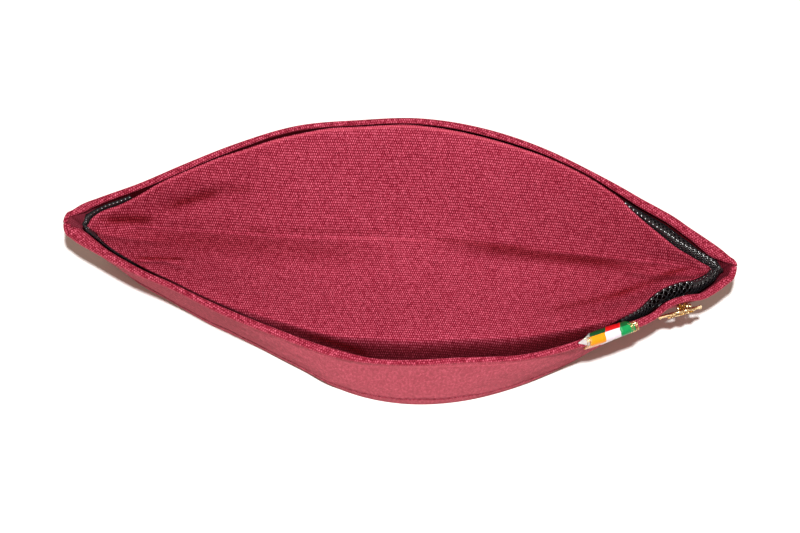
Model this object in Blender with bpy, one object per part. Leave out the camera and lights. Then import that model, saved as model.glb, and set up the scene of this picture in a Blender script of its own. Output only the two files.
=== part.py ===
# A boat-shaped hill cap of maroon twill: a valley-folded crown inside a turned-up outer band,
# black net showing at both tips, a striped ribbon over the near edge and a flower brooch.
# The cap stands on its open rim, with its front at +X and the wearer's right side at -Y.
import math
from collections import namedtuple

import bmesh
import bpy
import numpy as np
from mathutils import Matrix, Vector

# Driving sizes in metres
CAP_LENGTH = 0.270  # tip to tip along the top edge
CAP_WIDTH = 0.098  # across the top edge
FOOT_LENGTH = 0.250  # front to back along the lower edge
FOOT_WIDTH = 0.111  # across the lower edge
SIDE_HEIGHT = 0.080  # top edge above the floor at mid-length
TIP_HEIGHT = 0.064  # top edge above the floor at the tips
CLEARANCE = 0.0005  # between layers of cloth that are sewn or pressed together

BAND_WALL = 0.0032  # outer band, doubled cloth
BAND_BELLY = 0.0012  # how far the band swells at mid-height
HEM_HEIGHT = 0.013  # stitched hem at the lower edge
ROLL_DEPTH = 0.0050  # folded roll at the top edge
EDGE_SWELL = 0.0004  # how far the hem and the roll stand proud of the wall
STEP_RUN = 0.0010  # height over which the wall steps out to the hem and the roll

CROWN_WALL = 0.0018
CROWN_DROP = 0.0040  # crown's ridges below the band's top edge
CREASE_DEPTH = 0.0200  # crease below the ridges at mid-length
CREASE_SHIFT = 0.0030  # crease from the middle line, towards the far side
FOOT_LIFT = 0.0006  # crown's lower edge above the floor
NET_REVEAL = 0.0062  # widest strip of net that shows between crown and band

NET_WALL = 0.0014  # net, doubled
NET_DROP = 0.0032  # net's fold below the band's top edge
NET_DEPTH = 0.0180
NET_FRONT_START = 0.70  # where the front net comes up, as a share of the half-length
NET_BACK_START = 0.80

RIBBON_WALL = 0.0008
RIBBON_START = 0.535
RIBBON_END = 0.700
RIBBON_OUTER_LEG = 0.0140
RIBBON_INNER_LEG = 0.0040

BROOCH_WIDTH = 0.0183
BROOCH_ALONG = 0.852  # its middle, as a share of the half-length
BROOCH_RISE = 0.052  # its middle above the floor
BROOCH_STANDOFF = 0.0036  # back of its ring from the band
BROOCH_TURN = math.radians(18.5)  # from the cap's length
BROOCH_WIRE = 0.0013
BROOCH_PETALS = 6
PETAL_PITCH = math.radians(14)  # each petal's turn about its own length
BROOCH_POST = 0.0009  # radius of the two posts behind it

STATIONS = 44
SIDE_LEVELS = (0.75, 0.50, 0.25, 0.0)  # the crown's sides, as shares of the way up to a ridge
NET_LEVELS = (0.0, 0.25, 0.5, 0.75, 1.0)  # the net's depth, from its fold down
TIP_SLANT = 1.6  # how much faster an inner layer draws in at a tip than at the sides

# Top edge (far and near side) and lower edge, as shares of the half-widths
Edge = namedtuple("Edge", "along far near foot")
EDGES = (
    Edge(-1.000, 0.000, 0.000, 0.000),
    Edge(-0.985, 0.105, 0.085, 0.040),
    Edge(-0.950, 0.168, 0.142, 0.100),
    Edge(-0.900, 0.222, 0.208, 0.195),
    Edge(-0.780, 0.360, 0.371, 0.340),
    Edge(-0.660, 0.515, 0.500, 0.480),
    Edge(-0.500, 0.712, 0.694, 0.628),
    Edge(-0.330, 0.883, 0.843, 0.782),
    Edge(-0.150, 0.962, 0.971, 0.945),
    Edge(0.030, 1.000, 0.980, 1.000),
    Edge(0.200, 0.980, 0.937, 0.977),
    Edge(0.400, 0.858, 0.861, 0.847),
    Edge(0.550, 0.702, 0.718, 0.683),
    Edge(0.700, 0.526, 0.543, 0.441),
    Edge(0.800, 0.410, 0.384, 0.290),
    Edge(0.900, 0.258, 0.212, 0.153),
    Edge(0.950, 0.185, 0.124, 0.080),
    Edge(0.985, 0.105, 0.058, 0.030),
    Edge(1.000, 0.000, 0.000, 0.000),
)
# How far the crown's edge draws away from the band, as shares of the net's widest strip
Reveal = namedtuple("Reveal", "along far near")
REVEALS = (
    Reveal(-1.00, 0.42, 0.42),
    Reveal(-0.90, 0.40, 0.42),
    Reveal(-0.80, 0.28, 0.34),
    Reveal(-0.70, 0.08, 0.10),
    Reveal(-0.60, 0.00, 0.00),
    Reveal(0.45, 0.00, 0.06),
    Reveal(0.55, 0.00, 0.28),
    Reveal(0.62, 0.12, 0.42),
    Reveal(0.70, 0.46, 0.66),
    Reveal(0.78, 0.86, 0.96),
    Reveal(0.88, 0.96, 0.94),
    Reveal(1.00, 0.80, 0.80),
)
# The crown from its crease to a ridge, as shares of the way across and of the crease's depth
Profile = namedtuple("Profile", "across far near")
PROFILES = (
    Profile(0.00, 0.00, 0.00),
    Profile(0.16, 0.13, 0.16),
    Profile(0.36, 0.31, 0.38),
    Profile(0.58, 0.54, 0.62),
    Profile(0.78, 0.77, 0.84),
    Profile(0.93, 0.95, 0.96),
    Profile(1.00, 1.00, 0.84),
)
# Soft dents in the crown, placed by shares of its half-length and half-width, sized in metres
Dent = namedtuple("Dent", "along across long wide turn depth")
DENTS = (
    Dent(-0.62, 0.55, 0.016, 0.006, -25, 0.0014),
    Dent(0.68, -0.45, 0.018, 0.005, 24, 0.0014),
    Dent(-0.84, -0.60, 0.012, 0.004, -6, 0.0010),
    Dent(0.10, -0.75, 0.040, 0.006, 3, 0.0010),
)

FAR, NEAR = 1, -1


def blend(start, end, share):
    return start + (end - start) * share


def read(rows, column, along):
    """A table's column at a place along it, on a smooth curve through its rows."""
    places = [row.along if hasattr(row, "along") else row.across for row in rows]
    values = [getattr(row, column) for row in rows]
    slopes = np.gradient(values, places)
    i = min(max(int(np.searchsorted(places, along)) - 1, 0), len(rows) - 2)
    run = places[i + 1] - places[i]
    s = min(max((along - places[i]) / run, 0.0), 1.0)
    start = (1 + 2 * s) * (1 - s) ** 2 * values[i] + s * (1 - s) ** 2 * slopes[i] * run
    end = s * s * (3 - 2 * s) * values[i + 1] - s * s * (1 - s) * slopes[i + 1] * run
    return max(float(start + end), 0.0)


def side_name(side):
    return "far" if side == FAR else "near"


def edge_height(along):
    """Top edge of the band above the floor."""
    return TIP_HEIGHT + (SIDE_HEIGHT - TIP_HEIGHT) * (1 - along * along)


def wall_point(side, along, inset, height, seam=0.0):
    """A point inside the cap's outer face, drawn in by inset, at a height above the floor."""
    rise = height / edge_height(along)
    half_length = blend(FOOT_LENGTH, CAP_LENGTH, rise) / 2
    foot = read(EDGES, "foot", along) * (FOOT_WIDTH / 2 - inset)
    edge = read(EDGES, side_name(side), along) * (CAP_WIDTH / 2 - inset)
    belly = BAND_BELLY * 4 * rise * (1 - rise) * read(EDGES, "foot", along)
    y = blend(foot, edge, rise) + belly + seam
    return Vector((along * (half_length - TIP_SLANT * inset), side * y, height))


def stations(start, end, count):
    """Places along the cap, closer together towards the tips."""
    low = math.asin(start)
    high = math.asin(end)
    return [math.sin(blend(low, high, i / count)) for i in range(count + 1)]


def crown_inset(side, along, height):
    """How far the crown's side stands in from the band's outer face."""
    shown = NET_REVEAL * read(REVEALS, side_name(side), along)
    return BAND_WALL + CLEARANCE + shown * min(height / ridge_height(along), 1.0)


def ridge_height(along):
    return edge_height(along) - CROWN_DROP


def swept(bm, sections, closed_ends=True):
    """Joins rings of points, one for each place along the piece, into a closed body."""
    rings = [[bm.verts.new(point) for point in section] for section in sections]
    count = len(rings[0])
    for first, second in zip(rings, rings[1:]):
        for i in range(count):
            j = (i + 1) % count
            bm.faces.new((first[i], first[j], second[j], second[i]))
    if closed_ends:
        bm.faces.new(reversed(rings[0]))
        bm.faces.new(rings[-1])
    return rings


def finished(name, bm, material, sharp=40):
    """Turns a bmesh into a named object with outward faces and smooth shading."""
    bmesh.ops.remove_doubles(bm, verts=bm.verts, dist=1e-6)
    bmesh.ops.dissolve_degenerate(bm, dist=1e-6, edges=bm.edges)
    bmesh.ops.recalc_face_normals(bm, faces=bm.faces)
    mesh = bpy.data.meshes.new(name)
    bm.to_mesh(mesh)
    bm.free()
    mesh.materials.append(material)
    mesh.shade_smooth()
    mesh.set_sharp_from_angle(angle=math.radians(sharp))
    piece = bpy.data.objects.new(name, mesh)
    bpy.context.scene.collection.objects.link(piece)
    return piece


def finish(name, colour, roughness, metallic=0.0, sheen=0.0):
    material = bpy.data.materials.new(name)
    material.use_nodes = True
    shader = material.node_tree.nodes["Principled BSDF"]
    shader.inputs["Base Color"].default_value = (*colour, 1.0)
    shader.inputs["Roughness"].default_value = roughness
    shader.inputs["Metallic"].default_value = metallic
    shader.inputs["Sheen Weight"].default_value = sheen
    return material


def rounded_top(outer, wall, height, turns=5):
    """The rolled edge of a layer of cloth, from its outer face over to its inner one."""
    radius = wall / 2
    points = []
    for i in range(turns + 1):
        angle = math.pi * i / turns
        inset = outer + radius - radius * math.cos(angle)
        points.append((inset, height - radius + radius * math.sin(angle)))
    return points


def band_section(along):
    """Outline of the band's wall as insets and heights, from its lower outer corner."""
    top = edge_height(along)
    roll = top - ROLL_DEPTH
    middle = (HEM_HEIGHT + roll) / 2
    outline = [
        (0.0, 0.0),
        (0.0, HEM_HEIGHT - STEP_RUN / 2),
        (EDGE_SWELL, HEM_HEIGHT + STEP_RUN / 2),
        (EDGE_SWELL, middle),
        (EDGE_SWELL, roll - STEP_RUN / 2),
        (0.0, roll + STEP_RUN / 2),
    ]
    outline += rounded_top(0.0, BAND_WALL, top)
    outline += [(BAND_WALL, middle), (BAND_WALL, 0.0)]
    return outline


def make_band(name, side, material):
    bm = bmesh.new()
    sections = []
    for along in stations(-1.0, 1.0, STATIONS):
        outline = band_section(along)
        sections.append([wall_point(side, along, *spot, CLEARANCE / 2) for spot in outline])
    swept(bm, sections)
    return finished(name, bm, material)


def dent_depth(x, y):
    """How far the soft dents lower the crown at a place on it."""
    total = 0.0
    for dent in DENTS:
        turn = math.radians(dent.turn)
        dx = x - dent.along * CAP_LENGTH / 2
        dy = y - dent.across * CAP_WIDTH / 2
        run = (dx * math.cos(turn) + dy * math.sin(turn)) / dent.long
        off = (dy * math.cos(turn) - dx * math.sin(turn)) / dent.wide
        total += dent.depth * math.exp(-run * run - off * off)
    return total


def crown_side(side, along, extra, height):
    inset = crown_inset(side, along, height) + extra
    return wall_point(side, along, inset, height)


def crown_section(along, extra, drop):
    """The crown's outline from its near lower edge over the crease to its far lower edge.

    extra draws the sides in and drop lowers the top, for the inner face of the cloth.
    """
    ridge = ridge_height(along) - drop
    crease_y = CREASE_SHIFT * (1 - along * along)
    depth = CREASE_DEPTH * (1 - along * along)
    halves = []
    for side in (NEAR, FAR):
        edge = crown_side(side, along, extra, ridge)
        half = []
        for row in PROFILES:
            y = blend(crease_y, edge.y, row.across)
            level = ridge - depth * (1 - read(PROFILES, side_name(side), row.across))
            level -= dent_depth(edge.x, y) * (1 - along * along)
            half.append(Vector((edge.x, y, level)))
        lowest = half[-1].z
        for share in SIDE_LEVELS:
            half.append(crown_side(side, along, extra, blend(FOOT_LIFT, lowest, share)))
        halves.append(half)
    near, far = halves
    middle = (near[0] + far[0]) / 2
    return [*reversed(near[1:]), middle, *far[1:]]


def make_crown(name, material):
    bm = bmesh.new()
    skins = []
    for extra, drop in ((0.0, 0.0), (CROWN_WALL, CROWN_WALL)):
        rows = [crown_section(along, extra, drop) for along in stations(-1.0, 1.0, STATIONS)]
        skins.append([[bm.verts.new(point) for point in row] for row in rows])
    outer, inner = skins
    for skin in skins:
        for first, second in zip(skin, skin[1:]):
            for i in range(len(first) - 1):
                bm.faces.new((first[i], first[i + 1], second[i + 1], second[i]))
    for end in (0, -1):
        for i in range(STATIONS):
            bm.faces.new((outer[i][end], outer[i + 1][end], inner[i + 1][end], inner[i][end]))
    return finished(name, bm, material)


def net_section(side, along, front):
    """Outline of the folded net, which leans towards the far side except at the tip itself."""
    top = edge_height(along) - NET_DROP
    past_start = (abs(along) - front) / (1 - front)
    lean = math.sqrt(max(1 - past_start ** 2, 0.0))
    outline = []
    for down in NET_LEVELS:
        height = top - NET_WALL / 2 - NET_DEPTH * down
        low = BAND_WALL + CLEARANCE
        high = crown_inset(side, along, height) - CLEARANCE - NET_WALL
        share = down if side == FAR else 1 - down
        share = blend(0.5, share, lean)
        outline.append((blend(low, high, share), height))
    crest = rounded_top(outline[0][0], NET_WALL, top)
    inner = [(inset + NET_WALL, height) for inset, height in outline[1:]]
    return [*reversed(outline[1:]), *crest, *inner]


def make_net(name, start, direction, material):
    """A V of folded net at a tip: up the near side to the tip and back down the far side."""
    bm = bmesh.new()
    sections = []
    places = stations(start, 1.0, 12)
    for side, run in ((NEAR, places), (FAR, reversed(places))):
        for along in run:
            outline = net_section(side, direction * along, start)
            sections.append([wall_point(side, direction * along, *spot) for spot in outline])
    del sections[len(places)]  # both sides end in the same outline at the tip
    swept(bm, sections)
    return finished(name, bm, material)


def make_ribbon(name, material):
    """A strip of satin folded over the band's near edge."""
    bm = bmesh.new()
    outside = -CLEARANCE - RIBBON_WALL
    across = BAND_WALL + 2 * (CLEARANCE + RIBBON_WALL)
    sections = []
    for along in stations(RIBBON_START, RIBBON_END, 10):
        top = edge_height(along)
        outline = [(outside, top - RIBBON_OUTER_LEG)]
        outline += rounded_top(outside, across, top + CLEARANCE + RIBBON_WALL, 9)
        outline.append((outside + across, top - RIBBON_INNER_LEG))
        back = [(outside + across - RIBBON_WALL, top - RIBBON_INNER_LEG)]
        back += reversed(rounded_top(-CLEARANCE, across - 2 * RIBBON_WALL, top + CLEARANCE, 9))
        back.append((-CLEARANCE, top - RIBBON_OUTER_LEG))
        sections.append([wall_point(NEAR, along, *spot) for spot in outline + back])
    swept(bm, sections)
    return finished(name, bm, material)


def united(pieces):
    """Joins the overlapping pieces into the first of them."""
    base = pieces[0]
    for piece in pieces[1:]:
        union = base.modifiers.new("union", "BOOLEAN")
        union.operation = "UNION"
        union.solver = "EXACT"
        union.object = piece
        piece.hide_render = True
        piece.display_type = "WIRE"
    return base


def make_brooch(name, material):
    """An open flower: petals round a boss inside a wire ring, on two posts to the band."""
    radius = BROOCH_WIDTH / 2
    ring_radius = radius - BROOCH_WIRE / 2
    boss = radius * 0.24
    pieces = []

    bm = bmesh.new()
    sections = []
    for i in range(28):
        angle = 2 * math.pi * i / 28
        centre = Vector((math.cos(angle), 0, math.sin(angle))) * ring_radius
        ring = []
        for k in range(6):
            turn = 2 * math.pi * k / 6
            out = centre.normalized() * math.cos(turn) * BROOCH_WIRE / 2
            ring.append(centre + out + Vector((0, math.sin(turn) * BROOCH_WIRE / 2, 0)))
        sections.append(ring)
    sections.append(sections[0])
    swept(bm, sections, closed_ends=False)
    pieces.append(finished(name, bm, material))

    for i in range(BROOCH_PETALS):
        angle = 2 * math.pi * i / BROOCH_PETALS + math.pi / 2
        length = ring_radius * 0.54
        bm = bmesh.new()
        shape = Matrix.Diagonal((length, BROOCH_WIRE * 0.75, radius * 0.25, 1))
        bmesh.ops.create_uvsphere(bm, u_segments=10, v_segments=6, radius=1, matrix=shape)
        middle = Vector((math.cos(angle), 0, math.sin(angle))) * ring_radius * 0.5
        place = Matrix.Translation(middle) @ Matrix.Rotation(-angle, 4, "Y")
        place = place @ Matrix.Rotation(PETAL_PITCH, 4, "X")
        bmesh.ops.transform(bm, matrix=place, verts=bm.verts)
        pieces.append(finished(f"{name}_petal_{i}", bm, material))

    bm = bmesh.new()
    shape = Matrix.Diagonal((boss, boss * 0.8, boss, 1)) @ Matrix.Rotation(0.2, 4, "Y")
    bmesh.ops.create_uvsphere(bm, u_segments=12, v_segments=8, radius=1, matrix=shape)
    pieces.append(finished(f"{name}_boss", bm, material))

    centre, turned = brooch_place()
    for i, across in enumerate((-0.42, 0.42)):
        foot = turned @ Vector((across * ring_radius, 0, 0)) + centre
        reach = post_reach(foot, turned)
        bm = bmesh.new()
        along = Matrix.Translation((across * ring_radius, reach / 2, 0))
        post = along @ Matrix.Rotation(math.pi / 2, 4, "X")
        bmesh.ops.create_cone(bm, cap_ends=True, segments=10, radius1=BROOCH_POST,
                              radius2=BROOCH_POST, depth=reach, matrix=post)
        pieces.append(finished(f"{name}_post_{i}", bm, material))

    for piece in pieces:
        piece.location = centre
        piece.rotation_euler = turned.to_euler()
    return united(pieces)


def brooch_place():
    """Middle of the brooch's ring and its turn, from the band's face behind it."""
    turned = Matrix.Rotation(BROOCH_TURN, 3, "Z")
    face = wall_point(NEAR, BROOCH_ALONG, 0.0, BROOCH_RISE)
    return face + turned @ Vector((0, -BROOCH_STANDOFF, 0)), turned


def face_distance(start, inward):
    """Distance from a point to the near band's face, along a level direction."""
    nearest = None
    for along in np.linspace(BROOCH_ALONG - 0.15, BROOCH_ALONG + 0.14, 300):
        away = wall_point(NEAR, float(along), EDGE_SWELL, start.z, CLEARANCE / 2) - start
        reach = away.dot(inward)
        off = (away - inward * reach).length
        if nearest is None or off < nearest[0]:
            nearest = (off, reach)
    return nearest[1]


def post_reach(foot, turned):
    """Length of a post from the ring's plane to just short of the band's face."""
    inward = turned @ Vector((0, 1, 0))
    rims = [turned @ Vector((side * BROOCH_POST, 0, 0)) for side in (-1, 1)]
    rims.append(Vector((0, 0, BROOCH_POST)))
    return min(face_distance(foot + rim, inward) for rim in rims) - CLEARANCE


def main():
    for old in list(bpy.data.objects):
        bpy.data.objects.remove(old, do_unlink=True)
    make_band("band_left", FAR, finish("maroon_twill_left", (0.42, 0.050, 0.080), 0.85, sheen=0.3))
    make_band("band_right", NEAR, finish("maroon_twill_right", (0.42, 0.050, 0.080), 0.85, sheen=0.3))
    make_crown("crown", finish("maroon_twill_crown", (0.40, 0.046, 0.075), 0.88, sheen=0.3))
    make_net("net_front", NET_FRONT_START, 1, finish("black_net_front", (0.02, 0.02, 0.022), 0.35))
    make_net("net_back", NET_BACK_START, -1, finish("black_net_back", (0.02, 0.02, 0.022), 0.35))
    make_ribbon("ribbon", finish("striped_satin", (0.80, 0.80, 0.80), 0.40))
    make_brooch("brooch", finish("gilt_brass", (0.83, 0.60, 0.24), 0.22, metallic=1.0))


main()
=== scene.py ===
import math

import bmesh
import bpy
import numpy as np
from mathutils import Matrix, Vector


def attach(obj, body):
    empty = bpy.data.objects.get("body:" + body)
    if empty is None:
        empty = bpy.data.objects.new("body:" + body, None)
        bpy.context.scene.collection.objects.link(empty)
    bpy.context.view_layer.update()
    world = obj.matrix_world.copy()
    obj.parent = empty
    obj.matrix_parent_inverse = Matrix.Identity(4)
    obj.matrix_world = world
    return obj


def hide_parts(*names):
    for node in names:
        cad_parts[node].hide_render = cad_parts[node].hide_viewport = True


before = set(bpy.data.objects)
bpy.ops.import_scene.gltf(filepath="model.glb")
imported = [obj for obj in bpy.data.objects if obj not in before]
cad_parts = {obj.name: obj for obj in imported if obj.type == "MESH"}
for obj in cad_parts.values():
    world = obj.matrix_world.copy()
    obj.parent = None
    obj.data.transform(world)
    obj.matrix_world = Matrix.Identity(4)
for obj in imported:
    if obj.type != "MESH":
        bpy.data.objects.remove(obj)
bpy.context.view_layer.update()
scene = bpy.context.scene
scene.view_settings.view_transform = "Standard"
print("frame loaded:", len(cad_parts), "nodes")

far, near = 1, -1
mm = 0.001


# Camera and light

view = {
    "lens": 76.5,
    "aim": (0.54 * mm, -4.7 * mm, 48 * mm),
    "distance": 692.9 * mm,
    "elevation": 80.0,
    "roll": 4.11,
}


def placeCamera(spec):
    elevation = math.radians(spec["elevation"])
    roll = math.radians(spec["roll"])
    forward = Vector((0, math.cos(elevation), -math.sin(elevation)))
    right = Vector((1, 0, 0))
    up = right.cross(forward)
    rolledRight = math.cos(roll) * right + math.sin(roll) * up
    rolledUp = math.cos(roll) * up - math.sin(roll) * right
    place = Vector(spec["aim"]) - spec["distance"] * forward
    camera = bpy.data.objects.new("camera", bpy.data.cameras.new("camera"))
    camera.data.lens = spec["lens"]
    camera.data.clip_start = 0.01
    turn = Matrix((rolledRight, rolledUp, -forward)).transposed().to_4x4()
    camera.matrix_world = Matrix.Translation(place) @ turn
    scene.collection.objects.link(camera)
    scene.camera = camera


studio = {
    "keyPlace": (0, -66 * mm, 790 * mm),  # beside the camera, nearer to straight above
    "keySize": 20 * mm,
    "keyPower": 8.2,
    "skyStrength": 0.29,
    "skyTint": "#FFDCC8",
    "floorColour": "#F6F4F1",
    "floorSize": 3.0,
}


def linear(code):
    # an sRGB hex colour as the linear values that Blender works in
    parts = [int(code[i:i + 2], 16) / 255 for i in (1, 3, 5)]
    curve = [p / 12.92 if p <= 0.04045 else ((p + 0.055) / 1.055) ** 2.4 for p in parts]
    return (*curve, 1.0)


def setInputs(tree, node, inputs):
    # a value is set on its socket, and another node's socket is linked to it
    for socket, value in inputs.items():
        if isinstance(value, bpy.types.NodeSocket):
            tree.links.new(value, node.inputs[socket])
        else:
            node.inputs[socket].default_value = value


def addNode(tree, kind, inputs=None, **settings):
    made = tree.nodes.new("ShaderNode" + kind)
    for name, value in settings.items():
        setattr(made, name, value)
    setInputs(tree, made, inputs or {})
    return made


def newMaterial(name):
    material = bpy.data.materials.new(name)
    material.use_nodes = True
    tree = material.node_tree
    return material, tree, tree.nodes["Principled BSDF"]


def lightStudio(spec):
    lamp = bpy.data.lights.new("key", "AREA")
    lamp.shape = "DISK"
    lamp.size = spec["keySize"]
    lamp.energy = spec["keyPower"]
    key = bpy.data.objects.new("key", lamp)
    key.location = spec["keyPlace"]
    scene.collection.objects.link(key)
    scene.world = bpy.data.worlds.new("studio")
    scene.world.use_nodes = True
    sky = scene.world.node_tree.nodes["Background"]
    sky.inputs["Color"].default_value = linear(spec["skyTint"])
    sky.inputs["Strength"].default_value = spec["skyStrength"]

    # Matt white paper sweep, very slightly mottled so that it isn't a flat value
    material, tree, shader = newMaterial("whitePaper")
    mottle = addNode(tree, "TexNoise", {"Scale": 8.0, "Detail": 2.0})
    paper = addNode(tree, "Mix", {0: mottle.outputs["Fac"], 6: linear(spec["floorColour"]),
                                  7: linear("#FAF9F7")}, data_type="RGBA")
    setInputs(tree, shader, {"Base Color": paper.outputs[2], "Roughness": 0.9,
                             "Specular IOR Level": 0.1})
    half = spec["floorSize"] / 2
    mesh = bpy.data.meshes.new("floor")
    mesh.from_pydata([(-half, -half, 0), (half, -half, 0), (half, half, 0), (-half, half, 0)],
                     [], [(0, 1, 2, 3)])
    mesh.materials.append(material)
    floor = bpy.data.objects.new("floor", mesh)
    scene.collection.objects.link(floor)


placeCamera(view)
lightStudio(studio)
print("camera, light and floor placed")


# The cap's form, which all the cloth pieces follow

cap = {
    "length": 270 * mm,
    "width": 98 * mm,
    "footLength": 250 * mm,
    "footWidth": 111 * mm,
    "sideHeight": 80 * mm,
    "tipHeight": 64 * mm,
    "clearance": 0.5 * mm,
    "belly": 1.2 * mm,
    "bluntTip": 0.985,  # from this share of the half-length on, the rim turns round the tip
    "tipsAside": (0.4 * mm, 2.4 * mm),  # how far the back and front tips lie to the far side
    # place along the cap, then far edge, near edge and foot as shares of the half-widths
    "outline": (
        (-1.000, 0.095, 0.075, 0.035),
        (-0.985, 0.105, 0.095, 0.046),
        (-0.950, 0.168, 0.154, 0.112),
        (-0.900, 0.224, 0.220, 0.205),
        (-0.780, 0.355, 0.375, 0.340),
        (-0.660, 0.515, 0.492, 0.474),
        (-0.500, 0.716, 0.680, 0.616),
        (-0.330, 0.883, 0.836, 0.776),
        (-0.150, 0.960, 0.971, 0.945),
        (0.030, 1.010, 0.990, 1.006),
        (0.200, 0.978, 0.937, 0.977),
        (0.400, 0.850, 0.861, 0.847),
        (0.550, 0.694, 0.724, 0.683),
        (0.640, 0.592, 0.626, 0.556),
        (0.700, 0.518, 0.546, 0.452),
        (0.760, 0.450, 0.448, 0.366),
        (0.800, 0.402, 0.345, 0.294),
        (0.850, 0.326, 0.282, 0.218),
        (0.900, 0.256, 0.252, 0.155),
        (0.950, 0.180, 0.162, 0.082),
        (0.985, 0.112, 0.078, 0.030),
        (1.000, 0.095, 0.050, 0.025),
    ),
}


def blend(start, end, share):
    return start + (end - start) * share


def ease(low, high, at):
    s = np.clip((at - low) / (high - low), 0, 1)
    return s * s * (3 - 2 * s)


def readRows(rows, column, at):
    # a column of rows at any place along the cap, on a smooth curve through them
    table = np.array(rows, dtype=float)
    places, values = table[:, 0], table[:, column]
    slopes = np.gradient(values, places)
    i = np.clip(np.searchsorted(places, at) - 1, 0, len(places) - 2)
    run = places[i + 1] - places[i]
    s = np.clip((at - places[i]) / run, 0, 1)
    first = (1 + 2 * s) * (1 - s) ** 2 * values[i] + s * (1 - s) ** 2 * slopes[i] * run
    last = s * s * (3 - 2 * s) * values[i + 1] - s * s * (1 - s) * slopes[i + 1] * run
    return np.maximum(first + last, 0)


def sideColumn(side):
    return 1 if side == far else 2


def edgeHeight(along):
    return blend(cap["tipHeight"], cap["sideHeight"], 1 - along ** 2)


def middleLine(along):
    # the line between the two tips, which lie a little to the far side
    aside = np.where(along > 0, cap["tipsAside"][1], cap["tipsAside"][0])
    return aside * ease(0.85, 1.0, np.abs(along))


def outerFace(side, along, height):
    rise = height / edgeHeight(along)
    past = np.clip((np.abs(along) - cap["bluntTip"]) / (1 - cap["bluntTip"]), 0, 1)
    closing = np.sqrt(1 - past ** 2)
    footShare = readRows(cap["outline"], 3, along)
    edgeShare = readRows(cap["outline"], sideColumn(side), along)
    halfLength = blend(cap["footLength"], cap["length"], rise) / 2
    reach = blend(footShare * cap["footWidth"], edgeShare * cap["width"], rise) / 2
    reach = reach + cap["belly"] * 4 * rise * (1 - rise) * footShare
    y = blend(middleLine(along), side * reach, closing)
    return np.stack(np.broadcast_arrays(along * halfLength, y, height), axis=-1)


def wallPoints(side, along, inset, height):
    # points at a height above the floor, set in square from the cap's outer face
    step = 1e-4
    before = outerFace(side, np.clip(along - step, -1, 1), height)
    after = outerFace(side, np.clip(along + step, -1, 1), height)
    run = (after - before)[..., :2]
    run = run / np.linalg.norm(run, axis=-1, keepdims=True)
    points = outerFace(side, along, height)
    points[..., 0] += side * inset * run[..., 1]
    points[..., 1] -= side * inset * run[..., 0]
    middle = middleLine(points[..., 0] / (cap["length"] / 2))
    points[..., 1] = middle + side * np.maximum(side * (points[..., 1] - middle), 0)
    return points


def stationsAlong(low, high, count):
    # places along the cap, closer together towards the tips, as a column
    return np.sin(np.linspace(math.asin(low), math.asin(high), count))[:, None]


def unevenness(x, y, wavelength, seed):
    # a gentle random surface between about -1 and 1, made of a few waves
    dice = np.random.default_rng(seed)
    total = np.zeros(np.broadcast(x, y).shape)
    for _ in range(9):
        turn, phase = dice.uniform(0, 2 * math.pi, 2)
        pitch = 2 * math.pi / (wavelength * dice.uniform(0.7, 1.5))
        total += np.sin((x * math.cos(turn) + y * math.sin(turn)) * pitch + phase)
    return total / 4


def runLengths(points, axis):
    # distance run along a grid of points, starting at 0
    steps = np.linalg.norm(np.diff(points, axis=axis), axis=-1)
    start = np.zeros_like(np.take(steps, [0], axis=axis))
    return np.cumsum(np.concatenate([start, steps], axis=axis), axis=axis)


def placePiece(name, mesh):
    # a mesh as a piece of the cap, which moves as one body
    mesh.shade_smooth()
    piece = bpy.data.objects.new(name, mesh)
    scene.collection.objects.link(piece)
    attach(piece, "root")
    return piece


def clothPiece(name, points, grain, material, paintedLightAndShade=None, inside=None):
    # a grid of points as a mesh, closed round from its last column to its first; grain holds
    # each point's place on the flat cloth in metres, and inside the column from which on it
    # has another material, and that material
    rows, columns = points.shape[:2]
    index = np.arange(rows * columns).reshape(rows, columns)
    index = np.concatenate([index, index[:, :1]], axis=1)
    step = np.linalg.norm(points[:, -1] - points[:, 0], axis=-1)[:, None]
    last = grain[:, -1:] + np.stack([0 * step, step], axis=-1)
    grain = np.concatenate([grain, last], axis=1)

    def corners(grid):
        around = (grid[:-1, :-1], grid[1:, :-1], grid[1:, 1:], grid[:-1, 1:])
        return np.stack(around, axis=2)

    mesh = bpy.data.meshes.new(name)
    mesh.from_pydata(points.reshape(-1, 3).tolist(), [], corners(index).reshape(-1, 4).tolist())
    layer = mesh.uv_layers.new(name="grain")
    layer.data.foreach_set("uv", corners(grain).reshape(-1).astype(np.float32))
    # each point's painted light and shade, kept as an attribute for the material
    paintedTone = np.zeros(rows * columns) if paintedLightAndShade is None else np.broadcast_to(paintedLightAndShade, (rows, columns))
    mesh.attributes.new("paintedLightAndShade", "FLOAT", "POINT").data.foreach_set(
        "value", paintedTone.reshape(-1).astype(np.float32))
    mesh.materials.append(material)
    if inside is not None:
        mesh.materials.append(inside[1])
        column = np.tile(np.arange(index.shape[1] - 1), rows - 1)
        mesh.polygons.foreach_set("material_index", (column >= inside[0]).astype(np.int32))
    joined = bmesh.new()
    joined.from_mesh(mesh)
    bmesh.ops.remove_doubles(joined, verts=joined.verts, dist=1e-6)
    joined.to_mesh(mesh)
    joined.free()
    return placePiece(name, mesh)


# Maroon suiting, a woven wool blend. It gives fine rows of threads with lighter and
# darker flecks, no shine, and a pale fuzz where it is seen edge on.

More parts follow.
